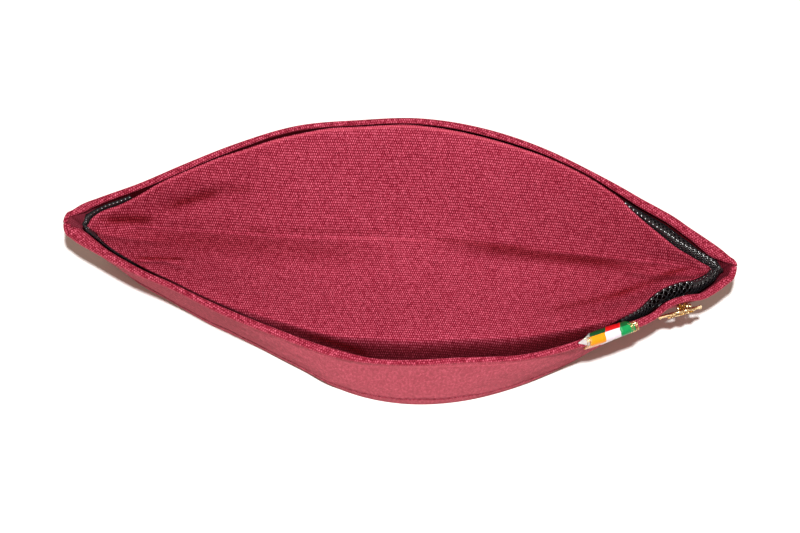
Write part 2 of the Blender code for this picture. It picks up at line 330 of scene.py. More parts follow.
suiting = {
    "thread": "#82152C",
    "between": "#330006",
    "fleck": "#DE6C84",
    # painted shade: a red tint multiplied in where the painted tone is below zero
    "paintedShade": "#A42B3A",  # light in a hollow has bounced off red cloth, so it's redder
    # painted highlight: a pale colour mixed in where the painted tone is above zero
    "paintedHighlight": "#D0586A",
    "fuzz": "#EA7080",
    # width and length of a dash of the weave; real ones are half that, too fine to show here
    "dash": (0.87 * mm, 0.97 * mm, 1.0),
    "wander": 0.15,
    "shares": {"knot": 0.60, "speck": 0.10, "hair": 0.30, "patch": 0.05},
    "nap": (1000, 1000, 210),  # clumps of the nap, drawn out up the wall, per metre
    "relief": 0.07 * mm,
    "roughness": 0.88,
}


def wovenWool(name, spec, contrast, clumps, sheen, specular):
    material, tree, shader = newMaterial(name)
    grain = addNode(tree, "UVMap", uv_map="grain").outputs["UV"]
    counted = addNode(tree, "VectorMath", {0: grain, 1: [1 / v for v in spec["dash"]]},
                      operation="MULTIPLY")
    drift = addNode(tree, "TexNoise", {"Vector": grain, "Scale": 220.0, "Detail": 3.0})
    centred = addNode(tree, "VectorMath", {0: drift.outputs["Color"], 1: (0.5, 0.5, 0.5)},
                      operation="SUBTRACT")
    wander = addNode(tree, "VectorMath", {0: centred.outputs[0], "Scale": 4 * spec["wander"]},
                     operation="SCALE")
    threads = addNode(tree, "VectorMath", {0: counted.outputs[0], 1: wander.outputs[0]},
                      operation="ADD").outputs[0]
    # each row of dashes is set half a dash aside from the one before
    parts = addNode(tree, "SeparateXYZ", {0: threads})
    row = addNode(tree, "Math", {0: parts.outputs["Y"]}, operation="FLOOR").outputs[0]
    aside = addNode(tree, "Math", {0: row, 1: 0.5, 2: parts.outputs["X"]},
                    operation="MULTIPLY_ADD").outputs[0]
    waves = []
    for place in (aside, parts.outputs["Y"]):
        angle = addNode(tree, "Math", {0: place, 1: math.pi}, operation="MULTIPLY")
        sine = addNode(tree, "Math", {0: angle.outputs[0]}, operation="SINE")
        waves.append(addNode(tree, "Math", {0: sine.outputs[0]}, operation="ABSOLUTE").outputs[0])
    soft = addNode(tree, "Math", {0: waves[1], 1: 0.5}, operation="POWER").outputs[0]
    knot = addNode(tree, "Math", {0: waves[0], 1: soft}, operation="MULTIPLY").outputs[0]

    placed = addNode(tree, "CombineXYZ", {"X": aside, "Y": parts.outputs["Y"]}).outputs[0]
    cell = addNode(tree, "VectorMath", {0: placed}, operation="FLOOR").outputs[0]
    speck = addNode(tree, "TexWhiteNoise", {"Vector": cell}, noise_dimensions="2D")
    finer = addNode(tree, "VectorMath", {0: placed, "Scale": 2.6}, operation="SCALE").outputs[0]
    fibre = addNode(tree, "VectorMath", {0: finer}, operation="FLOOR").outputs[0]
    hair = addNode(tree, "TexWhiteNoise", {"Vector": fibre}, noise_dimensions="2D")
    patch = addNode(tree, "TexNoise", {"Vector": grain, "Scale": 60.0, "Detail": 3.0})

    body = addNode(tree, "TexCoord").outputs["Object"]
    drawn = addNode(tree, "VectorMath", {0: body, 1: spec["nap"]}, operation="MULTIPLY")
    nap = addNode(tree, "TexNoise", {"Vector": drawn.outputs[0], "Scale": 1.0, "Detail": 2.0})

    shares = spec["shares"]
    tone = 0.5 - contrast * (sum(shares.values()) + clumps) / 2
    for source, share in ((knot, shares["knot"]), (speck.outputs["Value"], shares["speck"]),
                          (hair.outputs["Value"], shares["hair"]),
                          (patch.outputs["Fac"], shares["patch"]), (nap.outputs["Fac"], clumps)):
        tone = addNode(tree, "Math", {0: source, 1: share * contrast, 2: tone},
                       operation="MULTIPLY_ADD").outputs[0]
    # the tone averages out at 0.5, which the ramp sets to the thread's colour
    ramp = addNode(tree, "ValToRGB", {0: tone})
    stops = ramp.color_ramp.elements
    stops[0].position, stops[0].color = 0.06, linear(spec["between"])
    stops[1].position, stops[1].color = 0.96, linear(spec["fleck"])
    stops.new(0.5).color = linear(spec["thread"])

    # painted light and shade set on each piece: above zero the colour is mixed towards the painted
    # highlight, below zero it is multiplied by the painted shade
    paintedTone = addNode(tree, "Attribute", attribute_name="paintedLightAndShade").outputs["Fac"]
    paintedHighlight = addNode(tree, "Mix", {0: paintedTone, 6: ramp.outputs["Color"],
                                  7: linear(spec["paintedHighlight"])}, data_type="RGBA")
    deep = addNode(tree, "Math", {0: paintedTone, 1: -1.2}, operation="MULTIPLY", use_clamp=True)
    colour = addNode(tree, "Mix", {0: deep.outputs[0], 6: paintedHighlight.outputs[2],
                                   7: linear(spec["paintedShade"])}, data_type="RGBA",
                     blend_type="MULTIPLY")
    raised = addNode(tree, "Math", {0: speck.outputs["Value"], 1: 0.5, 2: knot},
                     operation="MULTIPLY_ADD")
    bump = addNode(tree, "Bump", {"Strength": 0.7, "Distance": spec["relief"],
                                  "Height": raised.outputs[0]})
    setInputs(tree, shader, {
        "Base Color": colour.outputs[2], "Normal": bump.outputs[0],
        "Roughness": spec["roughness"], "Specular IOR Level": specular,
        "Sheen Weight": sheen, "Sheen Roughness": 0.45, "Sheen Tint": linear(spec["fuzz"])})
    return material


crownCloth = wovenWool("wovenWoolCrown", suiting, 0.91, 0.0, 0.0, 0.08)
bandCloth = wovenWool("wovenWoolBand", suiting, 0.7, 1.2, 0.58, 0.12)
# a shaded copy of the same cloth for the band's turned-in face: no sheen, so that it stays dark
shadedLiningCloth = wovenWool("wovenWoolShadedTurnedIn", suiting, 0.85, 0.0, 0.0, 0.04)


# Turned-up band, of doubled cloth with a rolled top edge and a stitched hem

band = {
    "hem": 13 * mm,
    "roll": 5 * mm,
    "swell": 0.4 * mm,
    "step": 1.4 * mm,
    "stitchGroove": 0.38 * mm,
    "grooveWidth": 0.7 * mm,
    "seam": 0.12 * mm,
    "rimRadius": 2.2 * mm,
    "squareness": 0.78,
    "undercut": 1.3 * mm,  # the turned edge overhangs the wall inside
    "stations": 320,
    # place along, then how thick the far and the near rim are in mm
    "walls": (
        (-1.00, 1.6, 3.0),
        (-0.98, 2.2, 5.0),
        (-0.95, 3.3, 5.6),
        (-0.92, 2.9, 5.0),
        (-0.88, 2.6, 3.9),
        (-0.80, 2.5, 3.3),
        (-0.70, 2.7, 2.6),
        (-0.60, 2.5, 2.5),
        (-0.50, 2.4, 3.0),
        (-0.40, 2.0, 3.1),
        (-0.28, 2.1, 3.1),
        (-0.15, 2.2, 3.3),
        (-0.06, 2.3, 2.2),
        (0.10, 2.6, 2.4),
        (0.25, 2.8, 2.3),
        (0.42, 2.3, 2.5),
        (0.54, 2.0, 3.1),
        (0.62, 2.8, 4.1),
        (0.72, 3.5, 3.3),
        (0.82, 3.6, 2.6),
        (0.87, 3.9, 2.7),
        (0.91, 4.6, 2.9),
        (0.94, 4.8, 3.2),
        (0.97, 3.4, 3.2),
        (1.00, 1.4, 2.4),
    ),
}


def bandWall(side, along):
    return mm * readRows(band["walls"], sideColumn(side), along)


def rimSection(turn):
    # round the rim from its outer side, at 0, to its inner side: squarer than a circle
    across, up = np.cos(turn), np.sin(turn)
    return np.sign(across) * np.abs(across) ** band["squareness"], np.abs(up) ** band["squareness"]


def bandFace(height, top):
    # how far the outer face lies in from the cap's outline, over hem, wall and roll
    low = ease(band["hem"] - band["step"] / 2, band["hem"] + band["step"] / 2, height)
    roll = top - band["roll"]
    high = ease(roll - band["step"] / 2, roll + band["step"] / 2, height)
    groove = band["stitchGroove"] * np.exp(-((height - band["hem"]) / band["grooveWidth"]) ** 2)
    return band["swell"] * (low - 0.3 * high) + groove


def swayed(side, points, top):
    # the cloth isn't drawn perfectly flat between the hem and the rim
    x, height = points[..., 0], points[..., 2]
    free = ease(0, 12 * mm, height) * ease(0, 9 * mm, top - height)
    sway = 0.45 * mm * unevenness(x, 0.6 * height, 52 * mm, 3 + side)
    sway = sway + 0.14 * mm * unevenness(x, height, 15 * mm, 5 + side)
    points[..., 1] += side * sway * free
    return points


def makeBand(name, side, node):
    along = stationsAlong(-1, 1, band["stations"])
    top = edgeHeight(along)
    wall = bandWall(side, along)
    radius = wall / 2
    drop = np.minimum(radius, band["rimRadius"])
    shares = np.concatenate([np.linspace(0, 0.12, 5), np.linspace(0.14, 0.20, 9),
                             np.linspace(0.24, 0.86, 22), np.linspace(0.88, 1, 12)])[None]
    height = shares * (top - drop)
    outer = wallPoints(side, along, bandFace(height, top), height)
    outer = swayed(side, outer, top)
    turn = np.linspace(0, math.pi, 19)[None, 1:]
    across, up = rimSection(turn)
    rim = wallPoints(side, along, radius - radius * across, top - drop + drop * up)
    down = np.array([0.985, 0.97, 0.95, 0.92, 0.85, 0.75, 0.6, 0.45, 0.3, 0.15, 0.05, 0.0])[None]
    under = band["undercut"] * ease(0, 0.045, 1 - down) * ease(1.0, 0.96, np.abs(along))
    inset = np.maximum(wall - under, np.minimum(wall, 2.1 * mm))
    inner = wallPoints(side, along, inset, down * (top - drop))
    points = np.concatenate([outer, rim, inner], axis=1)
    points[..., 1] += side * band["seam"]
    # painted light and shade on the band: painted highlight over the rim's outer edge, at the top
    # of the wall and along the step of the roll; painted shade in the hem's groove and on the
    # turned-in face, with painted light at the back tip's corner and less painted shade at the
    # front tip's. The wall is also darker and redder below the hem.
    edge = np.exp(-((turn - 0.1) / 0.6) ** 2)
    rolled = np.exp(-((height - top + band["roll"]) / (0.9 * mm)) ** 2)
    sewn = np.exp(-((height - band["hem"]) / (0.8 * mm)) ** 2)
    below = ease(band["hem"], band["hem"] - 2 * mm, height)
    paintedWallTone = 0.10 * ease(0.9, 1.0, shares) + 0.30 * rolled - 0.15 * sewn - 0.12 * below
    plain = np.ones_like(along)
    atTip = np.where(along > 0, 0.25, -0.3)
    paintedInsideTone = 0 * down - blend(0.7 if side == far else 0.5, atTip,
                                  ease(0.91, 0.95, np.abs(along)))
    paintedTone = np.concatenate([paintedWallTone, 0.30 * edge * plain, paintedInsideTone], axis=1)
    run = runLengths(points[:, :1], 0)
    grain = np.stack(np.broadcast_arrays(run, runLengths(points, 1)), axis=-1)
    inside = outer.shape[1] + turn.size - 5, shadedLiningCloth
    piece = clothPiece(name, points, grain, bandCloth, paintedTone, inside)
    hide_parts(node)


makeBand("bandFar", far, "band_left")
makeBand("bandNear", near, "band_right")
print("bands made")


# Crown, one panel with its lengthwise crease, turned down inside the band

crown = {
    "wall": 1.8 * mm,
    # place along, then how far the far and near edge lie below the band's rim in mm
    "drops": ((-1.00, 4, 4), (-0.95, 4, 4), (-0.90, 4, 4), (-0.85, 4, 4), (-0.75, 1.6, 2.8),
              (-0.60, 0.4, 2.0), (-0.30, 0.8, 2.5), (-0.15, 0.3, 3.0), (0.00, 0.3, 3.5),
              (0.30, 0.6, 3.5), (0.55, 1.0, 3.0), (0.70, 2.6, 3.2), (0.80, 3.7, 3.8), (0.85, 4, 4),
              (0.90, 4, 4), (0.95, 4, 4), (1.00, 4, 4)),
    "creaseDepth": 21 * mm,
    "footLift": 0.6 * mm,
    "foldRadius": 0.6 * mm,
    "uneven": ((0.35 * mm, 46 * mm, 11), (0.07 * mm, 13 * mm, 12)),  # height, wavelength, seed
    # how far the weave of the top follows its slopes: rows crowded there would ripple
    "slopedGrain": 0.3,
    # place along, then how far the crease lies to the far side in mm
    "crease": ((-1.00, 0.4), (-0.85, 1.8), (-0.60, 2.6), (-0.45, 2.8), (-0.30, 3.2), (-0.15, 4.3),
               (0.00, 5.2), (0.15, 5.8), (0.30, 5.4), (0.45, 4.9), (0.60, 4.0), (0.75, 3.2),
               (0.85, 2.4), (1.00, 1.0)),
    # place along, then how steep the far and the near half rise beside the crease, 0 to 1
    "steepness": ((-1.00, 0, 0), (-0.80, 0.2, 0.2), (-0.60, 0.35, 0.3), (-0.40, 0.4, 0.3),
                  (-0.20, 0.4, 0.3), (-0.05, 0.1, 0.1), (0.08, 0, 0), (0.20, 0, 0.3),
                  (0.30, 0, 0.6), (0.45, 0, 0.8), (0.65, 0, 0.8), (0.78, 0, 0.5), (0.90, 0, 0.1),
                  (1.00, 0, 0)),
    "stations": 300,
    # place along, then how far the far and the near edge lie in from the cap's outline in mm
    "edges": (
        (-1.000, 7.2, 7.4),
        (-0.955, 6.6, 7.7),
        (-0.930, 5.4, 7.2),
        (-0.900, 4.5, 5.8),
        (-0.868, 4.6, 5.0),
        (-0.830, 4.4, 4.7),
        (-0.790, 3.9, 4.4),
        (-0.740, 3.0, 3.9),
        (-0.650, 2.8, 3.3),
        (-0.620, 2.8, 3.2),
        (-0.590, 2.8, 3.25),
        (-0.550, 2.9, 3.5),
        (-0.500, 3.2, 3.8),
        (-0.400, 3.0, 3.85),
        (-0.300, 2.9, 3.9),
        (-0.240, 2.3, 3.9),
        (-0.120, 2.5, 3.6),
        (0.000, 2.6, 2.9),
        (0.060, 2.9, 2.9),
        (0.120, 3.1, 3.0),
        (0.250, 3.3, 2.9),
        (0.420, 2.8, 3.2),
        (0.540, 2.5, 4.2),
        (0.620, 3.3, 5.2),
        (0.654, 3.8, 5.6),
        (0.685, 5.1, 6.1),
        (0.726, 6.5, 6.4),
        (0.766, 7.6, 7.2),
        (0.810, 8.3, 7.8),
        (0.850, 8.6, 8.3),
        (0.890, 8.4, 8.7),
        (0.925, 8.1, 8.5),
        (0.955, 7.6, 8.2),
        (1.000, 7.4, 8.2),
    ),
    # from the crease to the ridge: share of the way across, then of the rise, on the far
    # half where it's gentle and where it's steep, and the same on the near half
    "profile": (
        (0.00, 0.00, 0.00, 0.00, 0.00),
        (0.05, 0.03, 0.10, 0.02, 0.12),
        (0.12, 0.09, 0.22, 0.05, 0.26),
        (0.25, 0.22, 0.36, 0.13, 0.34),
        (0.40, 0.40, 0.50, 0.27, 0.42),
        (0.60, 0.63, 0.68, 0.53, 0.60),
        (0.80, 0.85, 0.86, 0.81, 0.83),
        (0.93, 0.96, 0.96, 0.96, 0.96),
        (1.00, 1.00, 1.00, 1.00, 1.00),
    ),
    # where the near edge falls away to the rim: place along, depth and width of the fall
    "nearFalls": ((-1.0, 0, 1.2 * mm), (-0.55, 0.5 * mm, 1.2 * mm), (-0.47, 2.0 * mm, 1.8 * mm),
                  (-0.38, 5.0 * mm, 2.6 * mm), (-0.28, 11.0 * mm, 3.8 * mm),
                  (-0.15, 19.0 * mm, 6.0 * mm),
                  (-0.06, 24.0 * mm, 8.2 * mm), (0.08, 22.0 * mm, 8.4 * mm),
                  (0.25, 24.0 * mm, 8.0 * mm), (0.39, 22.0 * mm, 7.4 * mm),
                  (0.49, 17.0 * mm, 6.0 * mm), (0.56, 9.0 * mm, 4.0 * mm),
                  (0.64, 3.0 * mm, 2.4 * mm), (0.80, 1.0 * mm, 1.8 * mm), (1.0, 0, 1.2 * mm)),
    # painted shade in the folds and hollows of the cloth: start x and y, end x and y and
    # half-width in mm, and how dark
    "paintedShades": (
        (-118, 3.6, -101, 5.6, 1.6, 0.46),
        (-93, 10.8, -74, 17.4, 1.8, 0.48),
        (-70, 18.2, -60, 18.8, 1.6, 0.30),
        (-62, 5.4, -54, 3.4, 0.8, 0.30),
        (-45, 5.6, -8, 7.0, 0.9, 0.22),
        (-96, -2.2, -18, -2.0, 5.4, 0.30),
        (14, 6.2, 52, 5.2, 1.0, 0.42),
        (28, 3.8, 90, 0.7, 3.0, 0.50),
        (62, -20.8, 92, -10.8, 1.7, 0.34),
        (88, -11.8, 113, -0.2, 1.5, 0.36),
        (106, -1.6, 117, 1.6, 0.9, 0.28),
        (-104, -11.8, -86, -10.4, 0.7, 0.52),
        (-32, -38.4, -10, -43.4, 1.4, 0.28),
    ),
    # folds in the cloth in mm: start x and y, end x and y, half-width and depth
    "folds": (
        (-119, 3.6, -101, 4.0, 1.5, 1.4),
        (-112, 1.8, -96, 1.0, 0.9, -0.5),
        (-119, -2.2, -97, -3.4, 1.5, 1.2),
        (-104.5, -13.4, -94, -12.0, 0.8, 1.6),
        (-94, -12.0, -86, -13.8, 1.3, 0.9),
        (-102, 8.2, -72, 17.0, 4.0, 2.4),
        (-90, 14.5, -70, 21.5, 2.4, -0.7),
        (78, -18.0, 104, -7.0, 3.6, 2.6),
        (86, -10.5, 113, -4.2, 2.4, -0.8),
        (93, -1.8, 119, -2.6, 2.0, 1.9),
        (100, 5.0, 118, 3.4, 1.8, 0.9),
    ),
}


def crownRidge(side, along):
    return edgeHeight(along) - mm * readRows(crown["drops"], sideColumn(side), along)


def crownOffset(side, along, height):
    ridge = crownRidge(side, along)
    low = bandWall(side, along) + cap["clearance"]
    high = mm * readRows(crown["edges"], sideColumn(side), along)
    return blend(low, high, height / ridge)


def sideLine(side, places, offset, height, shares):
    # a line along one side as far as it stays clear of the line between the tips, with
    # shares of the way from the middle of the cap, or from its start, to where it ends
    points = wallPoints(side, places, offset, height)
    aside = np.abs(points[:, 1] - middleLine(points[:, 0] / (cap["length"] / 2)))
    apart = np.flatnonzero(aside > 1e-6)
    low, high = max(apart[0] - 1, 0), min(apart[-1] + 1, len(places) - 1)
    ends = places[low], places[high]
    if ends[0] * ends[1] < 0:
        at = np.where(shares < 0, -shares * ends[0], shares * ends[1])
    else:
        at = blend(ends[0], ends[1], shares)
    order = np.argsort(places)
    line = np.stack([np.interp(at, places[order], points[order, i]) for i in range(3)], axis=-1)
    return line, at


def crownLine(side, shares, rise, extra):
    # the crown's side at a share of its height, from tip to tip
    fine = np.linspace(-1, 1, 1601)
    height = rise * (crownRidge(side, fine) - extra)
    return sideLine(side, fine, crownOffset(side, fine, height) + extra, height, shares)


def closedTips(nearPart, farPart, shares):
    weight = 0.5 * ease(0.95, 1.0, np.abs(shares))[..., None]
    return blend(nearPart, farPart, weight), blend(farPart, nearPart, weight)


def strokes(rows, x, y):
    # the sum of some soft strokes, each from its start to its end
    total = np.zeros_like(x)
    for x0, y0, x1, y1, width, depth in rows:
        start, run = np.array([x0, y0]) * mm, np.array([x1 - x0, y1 - y0]) * mm
        length = np.linalg.norm(run)
        dx, dy = x - start[0], y - start[1]
        share = (dx * run[0] + dy * run[1]) / length ** 2
        off = (dy * run[0] - dx * run[1]) / length
        beyond = np.maximum(np.abs(share - 0.5) - 0.3, 0) / 0.28
        total += depth * np.exp(-(off / (width * mm)) ** 2 - beyond ** 2)
    return total


def crownTop(side, shares, edge, along, crease, extra, across):
    # one half of the top from the crease to its edge, and its painted light and shade
    openness = 1 - shares ** 2
    ridge = crownRidge(side, along) - extra
    x = blend(crease[:, :1], edge[:, :1], across)
    y = blend(crease[:, 1:2], edge[:, 1:2], across)
    fromEdge = np.linalg.norm(edge[:, :2] - crease[:, :2], axis=1)[:, None] * (1 - across)
    column = sideColumn(side)
    steep = readRows(crown["steepness"], column, along)
    profile = blend(readRows(crown["profile"], 2 * column - 1, across),
                    readRows(crown["profile"], 2 * column, across), steep)
    bottom = edgeHeight(along) - extra - crown["creaseDepth"] * openness ** 0.8 - 4 * mm
    level = bottom + (ridge - bottom) * profile
    # the inner skin keeps clear below the outer one where the halves are steep
    level = level - 2 * extra * ease(0.2, 0.75, np.abs(along))
    if side == near:
        depth = readRows(crown["nearFalls"], 1, along)
        width = readRows(crown["nearFalls"], 2, along)
        fall = depth * np.clip(8 * openness, 0, 1)
        trough = 1 - np.clip(fromEdge / width, 0, 1)
        level = level - fall * trough ** 1.4
    radius = crown["foldRadius"]
    turned = np.clip(radius - fromEdge, 0, radius) * np.clip(8 * openness, 0, 1)
    level = level - (radius - np.sqrt(radius ** 2 - turned ** 2))
    inside = np.clip(fromEdge / (2 * mm), 0, 1)
    level = level - mm * strokes(crown["folds"], x, y) * inside
    soft = np.clip(3 * openness, 0, 1)
    for height, wavelength, seed in crown["uneven"]:
        level = level + height * soft * unevenness(x, y, wavelength, seed)
    pinch = np.exp(-((y - crease[:, 1:2]) / (0.5 * mm)) ** 2)
    level = level + 0.25 * mm * pinch * openness
    # painted highlight along the pressed crease, and painted shade growing towards the tips
    paintedTone = 0.20 * pinch * ease(0, 0.3, openness) - 0.21 * ease(0.15, 0.8, np.abs(along))
    # painted shade along the listed folds and hollows
    paintedTone = paintedTone - strokes(crown["paintedShades"], x, y)
    # on the far half, a painted highlight along the fold of the edge; on the near half, painted
    # shade in the trough where it falls to the rim
    if side == far:
        paintedTone = paintedTone + 0.42 * np.exp(-((fromEdge - 1.5 * radius) / (0.5 * mm)) ** 2)
    else:
        paintedTone = paintedTone - 0.54 * ease(0, 0.5, trough) * ease(0.5 * mm, 9 * mm, depth)
    return np.stack([x, y, level], axis=-1), paintedTone


def crownSkin(extra, across, down):
    # near lower edge, over the near half, the crease and the far half, to the far lower edge
    shares = np.sin(np.linspace(-math.pi / 2, math.pi / 2, crown["stations"]))
    edges, places = zip(*(crownLine(side, shares, 1.0, extra) for side in (near, far)))
    edges = closedTips(edges[0], edges[1], shares)
    along = (places[0] + places[1])[:, None] / 2
    column = shares[:, None]
    crease = (edges[0] + edges[1]) / 2
    aside = mm * readRows(crown["crease"], 1, along[:, 0])
    crease[:, 1] = blend(aside, crease[:, 1], ease(0.8, 1.0, np.abs(shares)))
    tops = [crownTop(side, column, edge, along, crease, extra, across)
            for side, edge in zip((near, far), edges)]
    walls = []
    for rise in down[0]:
        pair = [crownLine(side, shares, rise, extra)[0] for side in (near, far)]
        pair = closedTips(pair[0], pair[1], shares)
        for part, (top, _) in zip(pair, tops):
            part[:, 2] = blend(crown["footLift"], top[:, -1, 2], rise)
        walls.append(pair)
    nearWall, farWall = (np.stack([pair[k] for pair in walls], axis=1) for k in (0, 1))
    points = np.concatenate([nearWall[:, ::-1], tops[0][0][:, ::-1], tops[1][0][:, 1:], farWall],
                            axis=1)
    # painted shade on the crown's walls, which hang down inside the band
    plain = np.full(nearWall.shape[:2], -0.6)
    paintedTone = np.concatenate([plain, tops[0][1][:, ::-1], tops[1][1][:, 1:], plain], axis=1)
    return points, paintedTone


def makeCrown():
    across = np.concatenate([np.linspace(0, 0.05, 9), np.linspace(0.065, 0.78, 40),
                             np.linspace(0.795, 1, 26)])[None]
    down = np.linspace(1, 0, 13)[None, 1:]
    outer, paintedTone = crownSkin(0, across, down)
    inner, innerPaintedTone = crownSkin(crown["wall"], across[:, ::4], down[:, 1::2])
    points = np.concatenate([outer, inner[:, ::-1]], axis=1)
    paintedTone = np.concatenate([paintedTone, 0 * innerPaintedTone], axis=1)
    steps = np.diff(points, axis=1) * (0, 1, 1)
    steps[:, down.size:down.size + 2 * across.size - 2, 2] *= crown["slopedGrain"]
    pressed = np.concatenate([points[:, :1], points[:, :1] + np.cumsum(steps, axis=1)], axis=1)
    run = runLengths(pressed, 1)
    run = run - run[:, across.size + down.size - 1][:, None]
    grain = np.stack([points[..., 0], run], axis=-1)
    piece = clothPiece("crownPanel", points, grain, crownCloth, paintedTone)
    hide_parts("crown")


makeCrown()
print("crown made")


# Black nylon net, folded over between the band and the crown at both tips. Extruded
# nylon: a smooth strand that gives small hard glints, and dark holes between.

net = {
    "colour": "#0E0E10",
    "dust": "#2A2A2E",
    "roughness": 0.24,
    "strandWidth": 0.42 * mm,
    "strandThickness": 0.26 * mm,
    "knot": (0.62 * mm, 0.16 * mm),  # where two strands are fused: half its width and thickness
    "knotRows": 3,  # on each side of the crest
    "cell": 2.10 * mm,  # along the fold, from knot to knot
    "curve": 1.12,  # how much longer the fold is than its run along the cap
    "depth": 18 * mm,
    "crestDrop": 2.6 * mm,
    "clear": 0.45 * mm,
    # how far below the rim each leaf starts to bend, and the outer one's bend at the tips
    "outerShoulder": {far: 4.6 * mm, near: 7.7 * mm},
    "innerShoulder": 5.2 * mm,
    "tipReach": {far: 1.5 * mm, near: 2.2 * mm},
    "rows": (16, 4, 5, 15),  # up the outer leaf, round to the crest, round again, down
    # place along, then how far the crest lies in from the cap's outline, far and near, in mm
    "crests": (
        (-1.00, 6.5, 6.6),
        (-0.95, 5.0, 6.2),
        (-0.90, 3.6, 5.0),
        (-0.85, 3.5, 4.3),
        (-0.79, 3.1, 3.9),
        (0.66, 4.0, 4.9),
        (0.71, 5.2, 5.7),
        (0.76, 6.2, 6.5),
        (0.82, 6.4, 7.2),
        (0.87, 6.1, 7.5),
        (0.91, 5.5, 6.6),
        (0.95, 5.0, 5.8),
        (1.00, 4.8, 6.6),
    ),
    "front": {"starts": (0.67, 0.68), "end": 0.988, "flat": (96 * mm, 40 * mm)},
    "back": {"starts": (-0.82, -0.80), "end": -0.968, "flat": (56 * mm, 40 * mm)},
}


def glossyNylon(spec):
    material, tree, shader = newMaterial("extrudedNylon")
    place = addNode(tree, "TexCoord").outputs["Object"]
    dust = addNode(tree, "TexNoise", {"Vector": place, "Scale": 900.0, "Detail": 2.0})
    colour = addNode(tree, "Mix", {0: dust.outputs["Fac"], 6: linear(spec["colour"]),
                                   7: linear(spec["dust"])}, data_type="RGBA")
    bump = addNode(tree, "Bump", {"Strength": 0.5, "Distance": 0.08 * mm,
                                  "Height": dust.outputs["Fac"]})
    setInputs(tree, shader, {
        "Base Color": colour.outputs[2], "Normal": bump.outputs[0],
        "Roughness": spec["roughness"], "IOR": 1.53, "Specular IOR Level": 0.85})
    return material


nylon = glossyNylon(net)


def netSection(side, along):
    # offsets from the cap's outline and heights, from the outer leaf's foot over the crest
    # and down the inner leaf, a row of the net in each
    top = edgeHeight(along)
    foot = top - net["crestDrop"] - net["depth"]
    hugged = net["clear"] - 0.3 * mm * (side == far) * ease(1.0, 0.95, np.abs(along))
    outer = bandWall(side, along) + hugged
    crest = np.maximum(mm * readRows(net["crests"], sideColumn(side), along), outer + 0.2 * mm)
    outer = blend(outer, crest - net["tipReach"][side], ease(0.93, 0.99, np.abs(along)))
    shoulders = (top - net["outerShoulder"][side], top - net["innerShoulder"])
    peak = top - net["crestDrop"]
    count = net["rows"]
    rows = []
    for share in np.linspace(0, 1, count[0], endpoint=False):
        rows.append((outer, blend(foot, shoulders[0], share)))
    for turn in np.linspace(0, math.pi / 2, count[1], endpoint=False):
        rows.append((crest - (crest - outer) * math.cos(turn),
                     blend(shoulders[0], peak, math.sin(turn))))
    inner = np.maximum(crownOffset(side, along, shoulders[1]) - net["clear"], crest + 0.3 * mm)
    for turn in np.linspace(0, math.pi / 2, count[2], endpoint=False):
        rows.append((blend(crest, inner, math.sin(turn)),
                     blend(shoulders[1], peak, math.cos(turn))))
    for share in np.linspace(0, 1, count[3]):
        height = blend(shoulders[1], foot, share)
        lower = np.maximum(crownOffset(side, along, height) - net["clear"], outer + 0.4 * mm)
        rows.append((np.minimum(lower, inner), height))
    return rows


def netGrid(side, start, end, stations):
    # a grid of the net's crossings from where it starts to where it meets the other side
    fine = np.linspace(start, end, 800)
    shares = np.linspace(0, 1, stations)
    columns = []
    order = slice(None, None, -1 if start < 0 else 1)  # the back net is counted backwards
    for offset, height in netSection(side, fine):
        line, _ = sideLine(side, fine[order], offset[order], height[order], shares[order])
        columns.append(line)
    return np.stack(columns, axis=1)


